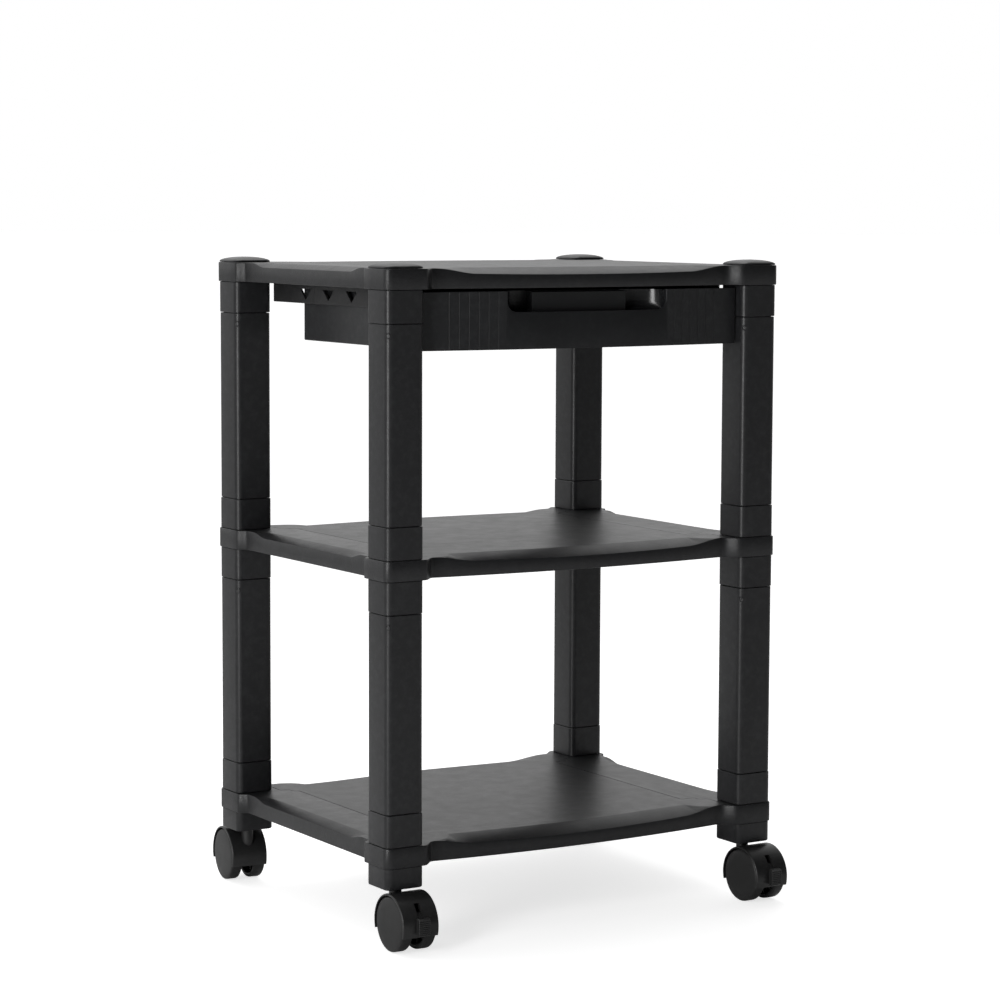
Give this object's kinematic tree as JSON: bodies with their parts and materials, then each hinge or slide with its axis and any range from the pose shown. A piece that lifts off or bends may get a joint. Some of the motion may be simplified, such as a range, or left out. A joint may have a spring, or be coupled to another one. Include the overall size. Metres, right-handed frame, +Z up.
{
  "type": "mobile printer stand",
  "caption": "Moulded plastic printer stand on casters: open shelves on square posts with a shallow drawer hung under the top.",
  "frame": {"origin": "on the floor under the middle of the stand's overall box", "axes": "+Z up, the drawer opens towards -Y, +X to the right seen from the front"},
  "size_m": [0.43, 0.4017, 0.6176],
  "materials": {
    "shelf_plastic": "charcoal moulded plastic with a fine pebbled grain",
    "post_plastic": "charcoal satin plastic",
    "drawer_plastic": "charcoal satin plastic, glossier in the finger recess",
    "rail_plastic": "charcoal satin plastic",
    "caster_plastic": "black nylon, semi-gloss",
    "wheel_plastic": "black nylon, scuffed tread",
    "zinc_steel": "zinc plated"
  },
  "bodies": {
    "stand": {"bottom_shelf": "shelf_plastic", "middle_shelf": "shelf_plastic", "top_shelf": "shelf_plastic", "lower_leg_front_left": "post_plastic", "lower_leg_base_front_left": "post_plastic", "lower_leg_head_front_left": "post_plastic", "upper_leg_front_left": "post_plastic", "upper_leg_base_front_left": "post_plastic", "upper_leg_head_front_left": "post_plastic", "top_cap_front_left": "shelf_plastic", "foot_front_left": "post_plastic", "lower_leg_front_right": "post_plastic", "lower_leg_base_front_right": "post_plastic", "lower_leg_head_front_right": "post_plastic", "upper_leg_front_right": "post_plastic", "upper_leg_base_front_right": "post_plastic", "upper_leg_head_front_right": "post_plastic", "top_cap_front_right": "shelf_plastic", "foot_front_right": "post_plastic", "lower_leg_rear_left": "post_plastic", "lower_leg_base_rear_left": "post_plastic", "lower_leg_head_rear_left": "post_plastic", "upper_leg_rear_left": "post_plastic", "upper_leg_base_rear_left": "post_plastic", "upper_leg_head_rear_left": "post_plastic", "top_cap_rear_left": "shelf_plastic", "foot_rear_left": "post_plastic", "lower_leg_rear_right": "post_plastic", "lower_leg_base_rear_right": "post_plastic", "lower_leg_head_rear_right": "post_plastic", "upper_leg_rear_right": "post_plastic", "upper_leg_base_rear_right": "post_plastic", "upper_leg_head_rear_right": "post_plastic", "top_cap_rear_right": "shelf_plastic", "foot_rear_right": "post_plastic", "left_rail": "rail_plastic", "right_rail": "rail_plastic", "caster_stem_front_left": "zinc_steel", "caster_stem_front_right": "zinc_steel", "caster_stem_rear_left": "zinc_steel", "caster_stem_rear_right": "zinc_steel"},
    "drawer": {"drawer": "drawer_plastic"},
    "caster_front_left": {"caster_hood_front_left": "caster_plastic", "caster_axle_front_left": "zinc_steel"},
    "wheel_left_front_left": {"caster_wheel_left_front_left": "wheel_plastic"},
    "wheel_right_front_left": {"caster_wheel_right_front_left": "wheel_plastic"},
    "pedal_front_left": {"brake_pedal_front_left": "caster_plastic"},
    "caster_front_right": {"caster_hood_front_right": "caster_plastic", "caster_axle_front_right": "zinc_steel"},
    "wheel_left_front_right": {"caster_wheel_left_front_right": "wheel_plastic"},
    "wheel_right_front_right": {"caster_wheel_right_front_right": "wheel_plastic"},
    "pedal_front_right": {"brake_pedal_front_right": "caster_plastic"},
    "caster_rear_left": {"caster_hood_rear_left": "caster_plastic", "caster_axle_rear_left": "zinc_steel"},
    "wheel_left_rear_left": {"caster_wheel_left_rear_left": "wheel_plastic"},
    "wheel_right_rear_left": {"caster_wheel_right_rear_left": "wheel_plastic"},
    "caster_rear_right": {"caster_hood_rear_right": "caster_plastic", "caster_axle_rear_right": "zinc_steel"},
    "wheel_left_rear_right": {"caster_wheel_left_rear_right": "wheel_plastic"},
    "wheel_right_rear_right": {"caster_wheel_right_rear_right": "wheel_plastic"}
  },
  "joints": [
    {"name": "drawer_slide", "type": "slide", "parent": "stand", "child": "drawer", "axis": [0, -1, 0], "range_m": [0, 0.2]},
    {"name": "swivel_front_left", "type": "hinge", "parent": "stand", "child": "caster_front_left", "pos_m": [-0.1943, -0.14507, 0.045], "axis": [0, 0, 1], "continuous": true},
    {"name": "wheel_left_front_left_spin", "type": "hinge", "parent": "caster_front_left", "child": "wheel_left_front_left", "pos_m": [-0.19467, -0.16607, 0.025], "axis": [0.9998, -0.0175, 0], "continuous": true},
    {"name": "wheel_right_front_left_spin", "type": "hinge", "parent": "caster_front_left", "child": "wheel_right_front_left", "pos_m": [-0.19467, -0.16607, 0.025], "axis": [0.9998, -0.0175, 0], "continuous": true},
    {"name": "brake_front_left", "type": "hinge", "parent": "caster_front_left", "child": "pedal_front_left", "pos_m": [-0.19488, -0.17807, 0.026], "axis": [0.9998, -0.0175, 0], "range_deg": [0, 10]},
    {"name": "swivel_front_right", "type": "hinge", "parent": "stand", "child": "caster_front_right", "pos_m": [0.1943, -0.14507, 0.045], "axis": [0, 0, 1], "continuous": true},
    {"name": "wheel_left_front_right_spin", "type": "hinge", "parent": "caster_front_right", "child": "wheel_left_front_right", "pos_m": [0.19467, -0.16607, 0.025], "axis": [0.9998, 0.0175, 0], "continuous": true},
    {"name": "wheel_right_front_right_spin", "type": "hinge", "parent": "caster_front_right", "child": "wheel_right_front_right", "pos_m": [0.19467, -0.16607, 0.025], "axis": [0.9998, 0.0175, 0], "continuous": true},
    {"name": "brake_front_right", "type": "hinge", "parent": "caster_front_right", "child": "pedal_front_right", "pos_m": [0.19488, -0.17807, 0.026], "axis": [0.9998, 0.0175, 0], "range_deg": [0, 10]},
    {"name": "swivel_rear_left", "type": "hinge", "parent": "stand", "child": "caster_rear_left", "pos_m": [-0.1943, 0.15053, 0.045], "axis": [0, 0, 1], "continuous": true},
    {"name": "wheel_left_rear_left_spin", "type": "hinge", "parent": "caster_rear_left", "child": "wheel_left_rear_left", "pos_m": [-0.19229, 0.17143, 0.025], "axis": [-0.9954, 0.0958, 0], "continuous": true},
    {"name": "wheel_right_rear_left_spin", "type": "hinge", "parent": "caster_rear_left", "child": "wheel_right_rear_left", "pos_m": [-0.19229, 0.17143, 0.025], "axis": [-0.9954, 0.0958, 0], "continuous": true},
    {"name": "swivel_rear_right", "type": "hinge", "parent": "stand", "child": "caster_rear_right", "pos_m": [0.1943, 0.15053, 0.045], "axis": [0, 0, 1], "continuous": true},
    {"name": "wheel_left_rear_right_spin", "type": "hinge", "parent": "caster_rear_right", "child": "wheel_left_rear_right", "pos_m": [0.1943, 0.17153, 0.025], "axis": [-1, 0, 0], "continuous": true},
    {"name": "wheel_right_rear_right_spin", "type": "hinge", "parent": "caster_rear_right", "child": "wheel_right_rear_right", "pos_m": [0.1943, 0.17153, 0.025], "axis": [-1, 0, 0], "continuous": true}
  ]
}
